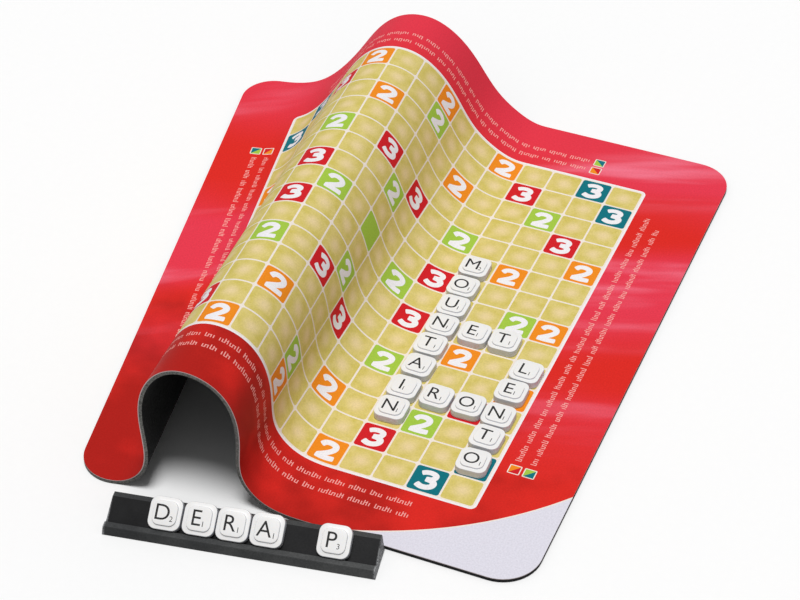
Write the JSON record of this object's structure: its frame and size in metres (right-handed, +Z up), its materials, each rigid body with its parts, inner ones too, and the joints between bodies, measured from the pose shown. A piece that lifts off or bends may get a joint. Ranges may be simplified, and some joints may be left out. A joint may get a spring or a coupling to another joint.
{
  "type": "travel word game set",
  "caption": "Soft laminated word game mat that arches up beside its flat part, with loose moulded letter tiles on its printed grid and more tiles on a low sloping rack.",
  "frame": {"origin": "on the table, under the middle of the part of the mat that lies flat, on the underside of its foam", "axes": "+X along the mat's front edge to the right, +Y to its back edge, +Z up from the table"},
  "size_m": [0.2801, 0.3712, 0.0768],
  "materials": {
    "foam_rubber": "matte closed-cell foam",
    "printed_fabric": "fine printed knit, red border and olive squares",
    "rack_plastic": "charcoal moulded plastic, fine matt texture",
    "tile_plastic": "ivory moulded plastic, satin, black printed characters"
  },
  "bodies": {
    "mat": {"mat_foam_base": "foam_rubber", "mat_printed_face": "printed_fabric"},
    "rack": {"tile_rack": "rack_plastic"},
    "tile_01": {"tile_01": "tile_plastic"},
    "tile_02": {"tile_02": "tile_plastic"},
    "tile_03": {"tile_03": "tile_plastic"},
    "tile_04": {"tile_04": "tile_plastic"},
    "tile_05": {"tile_05": "tile_plastic"},
    "tile_06": {"tile_06": "tile_plastic"},
    "tile_07": {"tile_07": "tile_plastic"},
    "tile_08": {"tile_08": "tile_plastic"},
    "tile_09": {"tile_09": "tile_plastic"},
    "tile_10": {"tile_10": "tile_plastic"},
    "tile_11": {"tile_11": "tile_plastic"},
    "tile_12": {"tile_12": "tile_plastic"},
    "tile_13": {"tile_13": "tile_plastic"},
    "tile_14": {"tile_14": "tile_plastic"},
    "tile_15": {"tile_15": "tile_plastic"},
    "tile_16": {"tile_16": "tile_plastic"},
    "tile_17": {"tile_17": "tile_plastic"},
    "rack_tile_1": {"rack_tile_1": "tile_plastic"},
    "rack_tile_2": {"rack_tile_2": "tile_plastic"},
    "rack_tile_3": {"rack_tile_3": "tile_plastic"},
    "rack_tile_4": {"rack_tile_4": "tile_plastic"},
    "rack_tile_5": {"rack_tile_5": "tile_plastic"}
  },
  "joints": [
    {"name": "rack_slide", "type": "slide", "parent": "mat", "child": "rack", "axis": [0.1736, -0.9848, 0], "range_m": [0, 0.06]},
    {"name": "tile_01_lift", "type": "slide", "parent": "mat", "child": "tile_01", "axis": [0, 0, 1], "range_m": [0, 0.03]},
    {"name": "tile_02_lift", "type": "slide", "parent": "mat", "child": "tile_02", "axis": [0, 0, 1], "range_m": [0, 0.03]},
    {"name": "tile_03_lift", "type": "slide", "parent": "mat", "child": "tile_03", "axis": [0, 0, 1], "range_m": [0, 0.03]},
    {"name": "tile_04_lift", "type": "slide", "parent": "mat", "child": "tile_04", "axis": [0, 0, 1], "range_m": [0, 0.03]},
    {"name": "tile_05_lift", "type": "slide", "parent": "mat", "child": "tile_05", "axis": [0, 0, 1], "range_m": [0, 0.03]},
    {"name": "tile_06_lift", "type": "slide", "parent": "mat", "child": "tile_06", "axis": [0, 0, 1], "range_m": [0, 0.03]},
    {"name": "tile_07_lift", "type": "slide", "parent": "mat", "child": "tile_07", "axis": [0, 0, 1], "range_m": [0, 0.03]},
    {"name": "tile_08_lift", "type": "slide", "parent": "mat", "child": "tile_08", "axis": [0, 0, 1], "range_m": [0, 0.03]},
    {"name": "tile_09_lift", "type": "slide", "parent": "mat", "child": "tile_09", "axis": [0, 0, 1], "range_m": [0, 0.03]},
    {"name": "tile_10_lift", "type": "slide", "parent": "mat", "child": "tile_10", "axis": [0, 0, 1], "range_m": [0, 0.03]},
    {"name": "tile_11_lift", "type": "slide", "parent": "mat", "child": "tile_11", "axis": [0, 0, 1], "range_m": [0, 0.03]},
    {"name": "tile_12_lift", "type": "slide", "parent": "mat", "child": "tile_12", "axis": [0, 0, 1], "range_m": [0, 0.03]},
    {"name": "tile_13_lift", "type": "slide", "parent": "mat", "child": "tile_13", "axis": [0, 0, 1], "range_m": [0, 0.03]},
    {"name": "tile_14_lift", "type": "slide", "parent": "mat", "child": "tile_14", "axis": [0, 0, 1], "range_m": [0, 0.03]},
    {"name": "tile_15_lift", "type": "slide", "parent": "mat", "child": "tile_15", "axis": [0, 0, 1], "range_m": [0, 0.03]},
    {"name": "tile_16_lift", "type": "slide", "parent": "mat", "child": "tile_16", "axis": [0, 0, 1], "range_m": [0, 0.03]},
    {"name": "tile_17_lift", "type": "slide", "parent": "mat", "child": "tile_17", "axis": [0, 0, 1], "range_m": [0, 0.03]},
    {"name": "rack_tile_1_lift", "type": "slide", "parent": "rack", "child": "rack_tile_1", "axis": [0.1021, -0.5789, 0.809], "range_m": [0, 0.03]},
    {"name": "rack_tile_2_lift", "type": "slide", "parent": "rack", "child": "rack_tile_2", "axis": [0.1021, -0.5789, 0.809], "range_m": [0, 0.03]},
    {"name": "rack_tile_3_lift", "type": "slide", "parent": "rack", "child": "rack_tile_3", "axis": [0.1021, -0.5789, 0.809], "range_m": [0, 0.03]},
    {"name": "rack_tile_4_lift", "type": "slide", "parent": "rack", "child": "rack_tile_4", "axis": [0.1021, -0.5789, 0.809], "range_m": [0, 0.03]},
    {"name": "rack_tile_5_lift", "type": "slide", "parent": "rack", "child": "rack_tile_5", "axis": [0.1021, -0.5789, 0.809], "range_m": [0, 0.03]}
  ]
}
